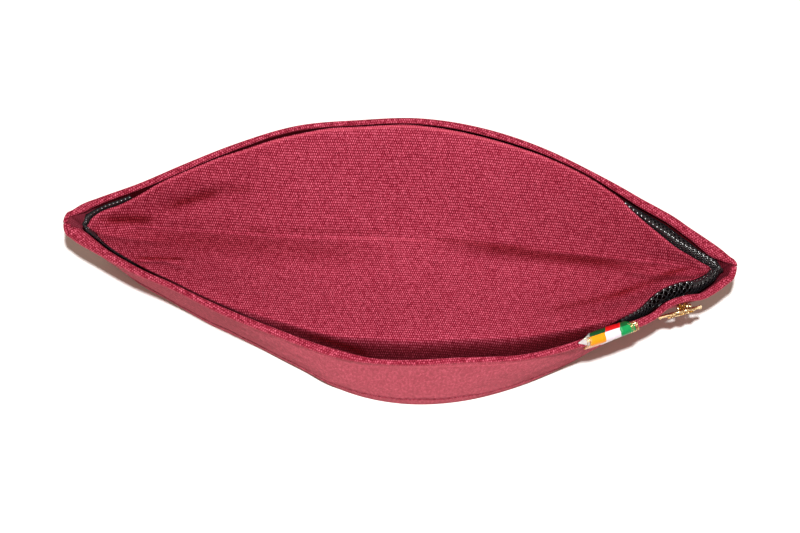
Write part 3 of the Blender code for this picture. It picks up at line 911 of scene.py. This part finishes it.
def netStrands(grid, spec):
    # a strand between every two crossings that lie across a cell from each other
    normals = np.cross(np.gradient(grid, axis=0), np.gradient(grid, axis=1))
    normals /= np.linalg.norm(normals, axis=-1, keepdims=True) + 1e-12
    i, j = np.meshgrid(*[np.arange(n - 1) for n in grid.shape[:2]], indexing="ij")
    rising = (i + j) % 2 == 0
    first = grid[i, np.where(rising, j, j + 1)].reshape(-1, 3)
    second = grid[i + 1, np.where(rising, j + 1, j)].reshape(-1, 3)
    normal = normals[i, j].reshape(-1, 3)
    lift = np.where(rising, 1, -1).reshape(-1, 1) * 0.06 * mm
    run = second - first
    across = np.cross(run, normal)
    across /= np.linalg.norm(across, axis=-1, keepdims=True) + 1e-12
    sides, rings = 5, ((0.0, 1.15, 0.0), (0.5, 0.9, 1.0), (1.0, 1.15, 0.0))
    points = []
    for share, width, over in rings:
        centre = first + share * run + over * lift * normal
        for turn in np.arange(sides) * 2 * math.pi / sides:
            flat = across * math.cos(turn) * spec["strandWidth"] / 2
            deep = normal * math.sin(turn) * spec["strandThickness"] / 2
            points.append(centre + width * (flat + deep))
    count = len(first)
    points = np.stack(points, axis=1).reshape(-1, 3)
    start = np.arange(count)[:, None] * sides * len(rings)
    faces = []
    for ring in range(len(rings) - 1):
        for corner in range(sides):
            a, b = ring * sides + corner, ring * sides + (corner + 1) % sides
            faces += (start + np.array([[a, b, b + sides, a + sides]])).tolist()
    caps = (start + np.arange(sides)[::-1]).tolist()
    caps += (start + (len(rings) - 1) * sides + np.arange(sides)).tolist()
    faces = faces + caps

    # flat fused knots at the crossings round the crest, which catch the light
    i, j = np.meshgrid(*[np.arange(n) for n in grid.shape[:2]], indexing="ij")
    crestRow = sum(spec["rows"][:2])
    knots = ((i + j) % 2 == 0) & (np.abs(j - crestRow) <= spec["knotRows"])
    middle, normal = grid[knots], normals[knots]
    across = np.cross(normal, (1.0, 0.0, 0.0))
    across /= np.linalg.norm(across, axis=-1, keepdims=True) + 1e-12
    other = np.cross(normal, across)
    wide, thick = spec["knot"]
    corners, around = 8, []
    for out, up in ((1.0, 0.0), (0.72, 0.7), (0.72, -0.7)):
        for turn in np.arange(corners) * 2 * math.pi / corners:
            flat = across * math.cos(turn) + other * math.sin(turn)
            around.append(middle + out * wide * flat + up * thick * normal)
    around += [middle + thick * normal, middle - thick * normal]
    begin = len(points) + np.arange(len(middle))[:, None] * len(around)
    for corner in range(corners):
        a, b = corner, (corner + 1) % corners
        for low, high, top in ((0, corners, 3 * corners), (0, 2 * corners, 3 * corners + 1)):
            faces += (begin + np.array([[a + low, b + low, b + high, a + high]])).tolist()
            faces += (begin + np.array([[a + high, b + high, top]])).tolist()
    return np.concatenate([points, np.stack(around, axis=1).reshape(-1, 3)]), faces


def makeNet(name, spec, node):
    run = abs(1 - abs(spec["starts"][0])) * cap["length"] / 2 * net["curve"]
    stations = int(round(run / (net["cell"] / 2)))
    parts = [netGrid(side, start, spec["end"], stations)
             for side, start in zip((far, near), spec["starts"])]
    share = np.linspace(0, 1, stations)[:, None, None]
    weight = 0.5 * ease(0.92, 1.0, share)
    joined = (blend(parts[0], parts[1], weight), blend(parts[1], parts[0], weight))
    grid = np.concatenate([joined[0], joined[1][::-1][1:]])
    points, faces = netStrands(grid, net)
    mesh = bpy.data.meshes.new(name)
    mesh.from_pydata(points.tolist(), [], faces)
    mesh.materials.append(nylon)
    piece = placePiece(name, mesh)
    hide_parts(node)
    print(name, "of", len(faces), "faces")


makeNet("netFront", net["front"], "net_front")
makeNet("netBack", net["back"], "net_back")


# Ribbon folded over the near rim. Satin, woven in stripes: smooth, glossy, with very
# fine ribs across, and its colours change at the fold, where two stripes are darkened as painted
# shade.

ribbon = {
    "start": 0.535,
    "end": 0.700,
    "thickness": 0.7 * mm,
    "clear": 0.15 * mm,
    "bulge": 0.2 * mm,  # it stands off the wall a little, half way down
    "split": 0.8 * mm,  # how far inside its fold the two rows of colours meet
    "lean": 0.45,  # of the stripes' edges inside the fold
    # place along, then how far it reaches inside and outside its fold in mm
    "reach": ((0.535, 0.2, 0.2), (0.545, 0.6, 0.8), (0.556, 1.2, 1.8), (0.566, 2.0, 3),
              (0.572, 3.0, 40), (0.590, 40, 40), (0.672, 40, 40), (0.682, 2.6, 40),
              (0.694, 0.6, 12), (0.700, 0.2, 3)),
    "outerLeg": 14 * mm,
    "innerLeg": 4 * mm,
    "stations": 90,
    "legSteps": 20,  # down the outer leg, and half as many up the inner one
    "rimSteps": 16,
    "rib": 0.55 * mm,  # real ribs are half as wide, too fine to show from here
    "outerStripes": ((0.0, "#B8B2B2"), (4.8, "#EC900C"), (11.6, "#DDD2DE"), (17.9, "#0A8A4A")),
    # inside the fold the dark green and the red are colours of their own, while the silver and the
    # green at the end are the outer ones darkened as painted shade
    "innerStripesPartShaded": ((0.0, "#979C9C"), (4.8, "#03401E"), (11.6, "#C00810"), (17.9, "#045024")),
    "roughness": 0.32,
}


def stripeRamp(tree, place, stripes, length):
    ramp = addNode(tree, "ValToRGB", {0: place})
    ramp.color_ramp.interpolation = "CONSTANT"
    stops = ramp.color_ramp.elements
    stops.remove(stops[1])
    stops[0].position, stops[0].color = 0.0, linear(stripes[0][1])
    for at, colour in stripes[1:]:
        stops.new(at * mm / length).color = linear(colour)
    return ramp.outputs["Color"]


def wovenSatin(spec, length):
    material, tree, shader = newMaterial("wovenSatin")
    grain = addNode(tree, "UVMap", uv_map="grain").outputs["UV"]
    fray = addNode(tree, "TexNoise", {"Vector": grain, "Scale": 1800.0, "Detail": 1.0})
    parts = addNode(tree, "SeparateXYZ", {0: grain})
    frayed = addNode(tree, "Math", {0: fray.outputs["Fac"], 1: 0.5 * mm, 2: parts.outputs["X"]},
                     operation="MULTIPLY_ADD")
    within = addNode(tree, "Math", {0: parts.outputs["Y"], 1: 0.0}, operation="MINIMUM")
    leaned = addNode(tree, "Math", {0: within.outputs[0], 1: spec["lean"], 2: frayed.outputs[0]},
                     operation="MULTIPLY_ADD")
    place = addNode(tree, "Math", {0: leaned.outputs[0], 1: length}, operation="DIVIDE")
    outer = stripeRamp(tree, place.outputs[0], spec["outerStripes"], length)
    inner = stripeRamp(tree, place.outputs[0], spec["innerStripesPartShaded"], length)
    folded = addNode(tree, "Math", {0: parts.outputs["Y"], 1: -spec["split"]},
                     operation="GREATER_THAN")
    colour = addNode(tree, "Mix", {0: folded.outputs[0], 6: inner, 7: outer}, data_type="RGBA")
    # painted highlight: the floats of the satin catch the light in streaks, drawn as paler streaks
    # in the colour
    streak = addNode(tree, "Mapping", {"Vector": grain, "Scale": (1400.0, 160.0, 1.0),
                                       "Rotation": (0, 0, 0.2)})
    floats = addNode(tree, "TexNoise", {"Vector": streak.outputs[0], "Scale": 1.0, "Detail": 2.0})
    paintedStreak = addNode(tree, "ValToRGB", {0: floats.outputs["Fac"]})
    paintedStreak.color_ramp.elements[0].position = 0.52
    paintedStreak.color_ramp.elements[1].position = 0.74
    soft = addNode(tree, "Math", {0: paintedStreak.outputs["Color"], 1: 0.45}, operation="MULTIPLY")
    paintedStreakColour = addNode(tree, "Mix", {0: soft.outputs[0], 6: colour.outputs[2], 7: linear("#FFF6DC")},
                  data_type="RGBA", blend_type="SOFT_LIGHT")
    ribs = addNode(tree, "Math", {0: parts.outputs["Y"], 1: 2 * math.pi / spec["rib"]},
                   operation="MULTIPLY")
    wave = addNode(tree, "Math", {0: ribs.outputs[0]}, operation="SINE")
    bump = addNode(tree, "Bump", {"Strength": 0.35, "Distance": 0.05 * mm,
                                  "Height": wave.outputs[0]})
    setInputs(tree, shader, {
        "Base Color": paintedStreakColour.outputs[2], "Normal": bump.outputs[0],
        "Roughness": spec["roughness"], "Specular IOR Level": 0.35})
    return material


def ribbonPoints(along, lift, shares):
    # round the rim from the foot of the inner leg to the foot of the outer one
    top = edgeHeight(along)
    wall = bandWall(near, along)
    radius = wall / 2 + lift
    drop = np.minimum(wall / 2, band["rimRadius"])
    innerLeg = ribbon["innerLeg"] - drop
    outerLeg = ribbon["outerLeg"] - drop
    turn = np.linspace(math.pi, 0, ribbon["rimSteps"] + 1)[None]
    up = wallPoints(near, along, wall + lift, top - drop - innerLeg * (1 - shares[:, ::2]))
    around, rise = rimSection(turn)
    over = wallPoints(near, along, wall / 2 - radius * around, top - drop + (drop + lift) * rise)
    down = top - drop - outerLeg * shares
    bulge = ribbon["bulge"] * np.sin(math.pi * np.minimum(1.3 * shares, 1)) ** 2
    outer = wallPoints(near, along, bandFace(down, top) - lift - bulge, down)
    outer = swayed(near, outer, top)
    return np.concatenate([up[:, :-1], over[:, :-1], outer], axis=1)


def trimmed(points, along, crest):
    # each line across the ribbon, cut to its reach inside and outside the fold
    run = runLengths(points, 1)
    run = run - run[:, crest][:, None]
    parts = []
    for i, line in enumerate(run):
        low, high = (np.interp(along[i, 0], *np.array(ribbon["reach"]).T[[0, k]]) * mm
                     for k in (1, 2))
        at = np.where(line < 0, line * min(low / -line[0], 1), line * min(high / line[-1], 1))
        parts.append(np.stack([np.interp(at, line, points[i, :, k]) for k in range(3)], axis=-1))
    return np.stack(parts)


def makeRibbon():
    along = np.linspace(ribbon["start"], ribbon["end"], ribbon["stations"])[:, None]
    shares = np.linspace(0, 1, ribbon["legSteps"] + 1)[None]
    crest = (ribbon["legSteps"] + ribbon["rimSteps"]) // 2  # the point on top of the rim
    base = trimmed(ribbonPoints(along, ribbon["clear"], shares), along, crest)
    lift = ribbon["clear"] + ribbon["thickness"]
    face = trimmed(ribbonPoints(along, lift, shares), along, crest)
    around = runLengths(face, 1)
    across = around - around[:, crest][:, None]
    run = runLengths(face[:, crest:crest + 1], 0)
    length = float(run[-1, 0])
    # each stripe stands up a little between its edges, and the two rows between theirs
    edges = np.array([at * mm for at, _ in ribbon["outerStripes"]] + [length])
    nearest = np.min(np.abs(run - edges[None]), axis=1)[:, None]
    low = 0.16 * mm * np.exp(-(nearest / (0.5 * mm)) ** 2)
    low = low + 0.18 * mm * np.exp(-((across + ribbon["split"]) / (0.45 * mm)) ** 2)
    sunk = np.clip(low / ribbon["thickness"], 0, 0.8)
    end = np.minimum(run, length - run) / (0.35 * mm)
    sunk = np.maximum(sunk, 1 - np.sqrt(np.clip(end, 0, 1)))[..., None]
    face = blend(face, base, sunk)
    points = np.concatenate([face, base[:, ::-1]], axis=1)
    grain = np.stack(np.broadcast_arrays(run, across), axis=-1)
    grain = np.concatenate([grain, grain[:, ::-1]], axis=1)
    satin = wovenSatin(ribbon, length)
    piece = clothPiece("stripedRibbon", points, grain, satin)
    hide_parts("ribbon")
    print("ribbon made,", round(length / mm, 1), "mm along the rim")


makeRibbon()


# Gilt metal for the brooch and the wire at the ribbon's ends: brass, cast and stamped
# thin, plated with gold and polished. It gives small hard reflections, dark between.

gilt = {
    "colour": "#FFE4AE",
    "shade": "#D09E52",
    "roughness": 0.26,
    "dimple": 0.9 * mm,
}


def giltBrass(spec):
    material, tree, shader = newMaterial("polishedGiltBrass")
    place = addNode(tree, "TexCoord").outputs["Object"]
    dimples = addNode(tree, "TexVoronoi", {"Vector": place, "Scale": 1 / spec["dimple"]},
                      feature="SMOOTH_F1")
    tarnish = addNode(tree, "TexNoise", {"Vector": place, "Scale": 600.0, "Detail": 3.0})
    thin = addNode(tree, "Math", {0: tarnish.outputs["Fac"], 1: 0.5}, operation="MULTIPLY")
    colour = addNode(tree, "Mix", {0: thin.outputs[0], 6: linear(spec["colour"]),
                                   7: linear(spec["shade"])}, data_type="RGBA")
    bump = addNode(tree, "Bump", {"Strength": 0.6, "Distance": 0.15 * mm,
                                  "Height": dimples.outputs["Distance"]})
    setInputs(tree, shader, {"Base Color": colour.outputs[2], "Normal": bump.outputs[0],
                             "Metallic": 1.0, "Roughness": spec["roughness"]})
    return material


giltMetal = giltBrass(gilt)


def addTube(build, path, radii, sides=8):
    # a round wire along a path, closed at both ends
    path = np.asarray(path, dtype=float)
    radii = np.broadcast_to(radii, len(path))
    runs = np.gradient(path, axis=0)
    runs /= np.linalg.norm(runs, axis=-1, keepdims=True)
    start = Vector(runs[0]).orthogonal().normalized()
    across = np.array(start)
    rings = []
    for point, run, radius in zip(path, runs, radii):
        across = across - run * (across @ run)
        across = across / np.linalg.norm(across)
        other = np.cross(run, across)
        ring = []
        for i in range(sides):
            turn = 2 * math.pi * i / sides
            offset = across * math.cos(turn) + other * math.sin(turn)
            ring.append(build.verts.new(point + radius * offset))
        rings.append(ring)
    for one, two in zip(rings[:-1], rings[1:]):
        for i in range(sides):
            build.faces.new((one[i], one[(i + 1) % sides], two[(i + 1) % sides], two[i]))
    build.faces.new(rings[0][::-1])
    build.faces.new(rings[-1])


def addBall(build, place, radius, squash=(1, 1, 1)):
    made = bmesh.ops.create_icosphere(build, subdivisions=2, radius=radius)["verts"]
    bmesh.ops.scale(build, vec=squash, verts=made)
    bmesh.ops.translate(build, vec=place, verts=made)


def builtPiece(name, build, material):
    # what was built, with its faces turned outwards
    bmesh.ops.recalc_face_normals(build, faces=build.faces)
    mesh = bpy.data.meshes.new(name)
    build.to_mesh(mesh)
    build.free()
    mesh.materials.append(material)
    return placePiece(name, mesh)


def addLeaf(build, length, shape, turn, thickness):
    # one petal: a ribbed, cupped leaf of sheet metal from the middle outwards
    width, start, pitch, curl = shape
    pitch = math.radians(pitch)
    steps, sides = 12, 9
    grids = []
    for face in (-1, 1):
        grid = []
        for i in range(steps):
            along = i / (steps - 1)
            half = width / 2 * math.sin(math.pi * (0.12 + 0.86 * along)) ** 0.8
            reach = start + along * (length - start)
            row = []
            for j in range(sides):
                across = 2 * j / (sides - 1) - 1
                cup = 0.16 * width * across ** 2 - 0.05 * width * math.exp(-(across / 0.18) ** 2)
                out = cup + math.sin(pitch) * reach + curl * along ** 3
                wave = 0.03 * width * math.cos(5 * math.pi * across)
                thin = thickness / 2 * (1 - 0.5 * across ** 2)
                place = (math.cos(pitch) * reach, half * across, out + wave + face * thin)
                row.append(build.verts.new(Matrix.Rotation(turn, 3, "Z") @ Vector(place)))
            grid.append(row)
        grids.append(grid)
    back, front = grids
    for i in range(steps - 1):
        for j in range(sides - 1):
            build.faces.new((front[i][j], front[i + 1][j], front[i + 1][j + 1], front[i][j + 1]))
            build.faces.new((back[i][j], back[i][j + 1], back[i + 1][j + 1], back[i + 1][j]))
        for j in (0, sides - 1):
            build.faces.new((front[i][j], back[i][j], back[i + 1][j], front[i + 1][j]))
    for i in (0, steps - 1):
        for j in range(sides - 1):
            build.faces.new((front[i][j], front[i][j + 1], back[i][j + 1], back[i][j]))


brooch = {
    "width": 18.3 * mm,
    "along": 0.856,
    "rise": 53 * mm,
    "standoff": 2.7 * mm,
    "turn": 18.5,
    "lean": 5.7,  # its top leans away from the band
    "wire": 0.55 * mm,
    "scallop": 0.5 * mm,
    "petals": 6,
    "petalThickness": 0.45 * mm,
    # of a leaf: its width, where it starts, its pitch in degrees and its curl
    "largePetal": (5.4 * mm, 1.6 * mm, 2.0, -0.7 * mm),
    "smallPetal": (3.6 * mm, 1.2 * mm, 9, 0.2 * mm),
    "backLeaf": (2.4 * mm, 1.4 * mm, -30, -0.6 * mm),
    "backLeaves": (40, 66, 92),  # degrees round the middle
    "tipBall": 0.72 * mm,
    "boss": 1.9 * mm,
    "beads": (10, 2.2 * mm, 0.45 * mm),  # how many, how far from the middle, radius
    "prongs": ((-1.3 * mm, 4.6 * mm), (2.4 * mm, 4.8 * mm)),
    "prongRadii": (0.75 * mm, 0.6 * mm, 0.35 * mm),
    "pin": (0.6, 2, 4, 5.6),  # points along it in mm
    "pinY": -3.2 * mm,
    "pinPosts": (0.8 * mm, 5.2 * mm),
}


def makeBrooch():
    # made lying flat, its face up, then stood against the band
    radius = brooch["width"] / 2
    build = bmesh.new()
    scallops = brooch["petals"]
    rim = []
    for i in range(145):
        turn = 2 * math.pi * i / 144
        inward = brooch["scallop"] * (1 - abs(math.cos(scallops * turn / 2)))
        reach = radius - brooch["wire"] - inward
        rim.append((reach * math.cos(turn), reach * math.sin(turn), 0))
    addTube(build, rim, brooch["wire"])
    thickness = brooch["petalThickness"]
    for i in range(scallops):
        turn = 2 * math.pi * i / scallops
        addLeaf(build, radius - 0.4 * mm, brooch["largePetal"], turn, thickness)
        addLeaf(build, 0.62 * radius, brooch["smallPetal"], turn + math.pi / scallops, thickness)
        out = radius - 0.75 * mm
        addBall(build, Vector((out * math.cos(turn), out * math.sin(turn), 0.3 * mm)),
                brooch["tipBall"])
    addBall(build, (0, 0, 0.5 * mm), brooch["boss"], (1, 1, 0.5))
    beads, out, beadRadius = brooch["beads"]
    for i in range(beads):
        turn = 2 * math.pi * i / beads
        addBall(build, (out * math.cos(turn), out * math.sin(turn), 0.7 * mm), beadRadius)
    # behind: two prongs into the band, small leaves bent back, and the pin with its catch
    reach = brooch["standoff"] + 0.6 * mm
    for x, y in brooch["prongs"]:
        addTube(build, [(x, y, 0), (x, y, -0.5 * reach), (x + 0.2 * mm, y, -reach)],
                brooch["prongRadii"])
    for turn in brooch["backLeaves"]:
        addLeaf(build, 5.6 * mm, brooch["backLeaf"], math.radians(turn), thickness)
    pinY = brooch["pinY"]
    addTube(build, [(x * mm, pinY, -1.7 * mm) for x in brooch["pin"]], 0.35 * mm)
    for x in brooch["pinPosts"]:
        addTube(build, [(x, pinY, 0), (x, pinY, -1.1 * mm), (x, pinY, -2.2 * mm)], 0.6 * mm)

    turned = math.radians(brooch["turn"])
    alongBand = Vector((math.cos(turned), math.sin(turned), 0))
    outward = Vector((math.sin(turned), -math.cos(turned), 0))
    up = Vector((0, 0, 1))
    along, rise = np.array([[brooch["along"]]]), np.array([[brooch["rise"]]])
    face = Vector(wallPoints(near, along, 0, rise)[0, 0])
    place = face + brooch["standoff"] * outward
    lean = Matrix.Rotation(math.radians(brooch["lean"]), 4, "X")
    stand = Matrix((alongBand, up, outward)).transposed().to_4x4() @ lean
    bmesh.ops.transform(build, matrix=Matrix.Translation(place) @ stand, verts=build.verts)
    piece = builtPiece("flowerBrooch", build, giltMetal)
    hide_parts("brooch")


makeBrooch()
print("brooch made")


# Fine gilt wire bound round both ends of the ribbon

wire = {
    "bundles": ((0.556, 0.572, 3), (0.684, 0.706, 5)),  # start and end along, how many wires
    "radius": 0.08 * mm,
    "wander": 0.004,  # to and fro, as a share of the cap's half-length
    "outside": 0.7 * mm,  # how far out of the wall it comes
    "below": 2.2 * mm,  # how far under the rim's top its ends lie
    "arch": 3.1 * mm,
    "ripple": 0.15 * mm,
    "seed": 21,
}


def makeRibbonWire():
    build = bmesh.new()
    dice = np.random.default_rng(wire["seed"])
    for start, finish, count in wire["bundles"]:
        for _ in range(count):
            share = np.linspace(0, 1, 40)
            phases = dice.uniform(0, 2 * math.pi, 3)
            turns = dice.uniform(1.0, 2.6, 3)
            swings = [np.sin(2 * math.pi * turn * share + phase)
                      for turn, phase in zip(turns, phases)]
            along = blend(start, finish, share) + wire["wander"] * swings[0]
            wall = bandWall(near, along)
            over = 0.5 + 0.55 * swings[1]
            offset = blend(-wire["outside"], 0.8 * wall, over)
            top = edgeHeight(along)
            arch = np.sqrt(np.clip(1 - ((offset - wall / 2) / (wall / 2 + 1.1 * mm)) ** 2, 0, 1))
            height = top - wire["below"] + wire["arch"] * arch
            height = height + wire["ripple"] * swings[2]
            path = wallPoints(near, along, offset, height)
            addTube(build, path, wire["radius"], sides=6)
    builtPiece("ribbonWire", build, giltMetal)


makeRibbonWire()
print("ribbon wire made")


# Sewing thread: spun polyester in the cloth's colour, slightly shinier than the cloth

thread = {
    "colour": "#A83C50",
    "ply": "#7A1E33",
    "radius": 0.22 * mm,
    "stitch": 2.2 * mm,
    "pitch": 3.0 * mm,
    "steps": 7,  # points along a stitch
    "ends": 0.97,  # how far towards the tips the row runs
}


def spunThread(spec):
    material, tree, shader = newMaterial("spunPolyester")
    place = addNode(tree, "TexCoord").outputs["Object"]
    ply = addNode(tree, "TexNoise", {"Vector": place, "Scale": 1500.0, "Detail": 1.0})
    colour = addNode(tree, "Mix", {0: ply.outputs["Fac"], 6: linear(spec["colour"]),
                                   7: linear(spec["ply"])}, data_type="RGBA")
    setInputs(tree, shader, {"Base Color": colour.outputs[2], "Roughness": 0.6})
    return material


sewingThread = spunThread(thread)


def makeStitches(name, side):
    # one row along the hem's seam, in the groove that it pulls into the cloth
    fine = np.linspace(-thread["ends"], thread["ends"], 1200)
    height = np.full_like(fine, band["hem"])
    face = swayed(side, wallPoints(side, fine, bandFace(height, edgeHeight(fine)), height),
                  edgeHeight(fine))
    face[:, 1] += side * band["seam"]
    run = runLengths(face, 0)
    build = bmesh.new()
    count = int(run[-1] / thread["pitch"])
    for i in range(count):
        at = np.linspace(0, thread["stitch"], thread["steps"]) + (i + 0.2) * thread["pitch"]
        path = np.stack([np.interp(at, run, face[:, k]) for k in range(3)], axis=-1)
        heading = path[-1] - path[0]
        out = side * np.array((-heading[1], heading[0], 0)) / np.linalg.norm(heading)
        rise = np.sin(np.linspace(0, math.pi, thread["steps"]))[:, None]
        path = path + out * (rise * 0.30 * mm - 0.12 * mm)
        addTube(build, path, thread["radius"], sides=6)
    builtPiece(name, build, sewingThread)


makeStitches("stitchesFar", far)
makeStitches("stitchesNear", near)
print("stitches sewn")
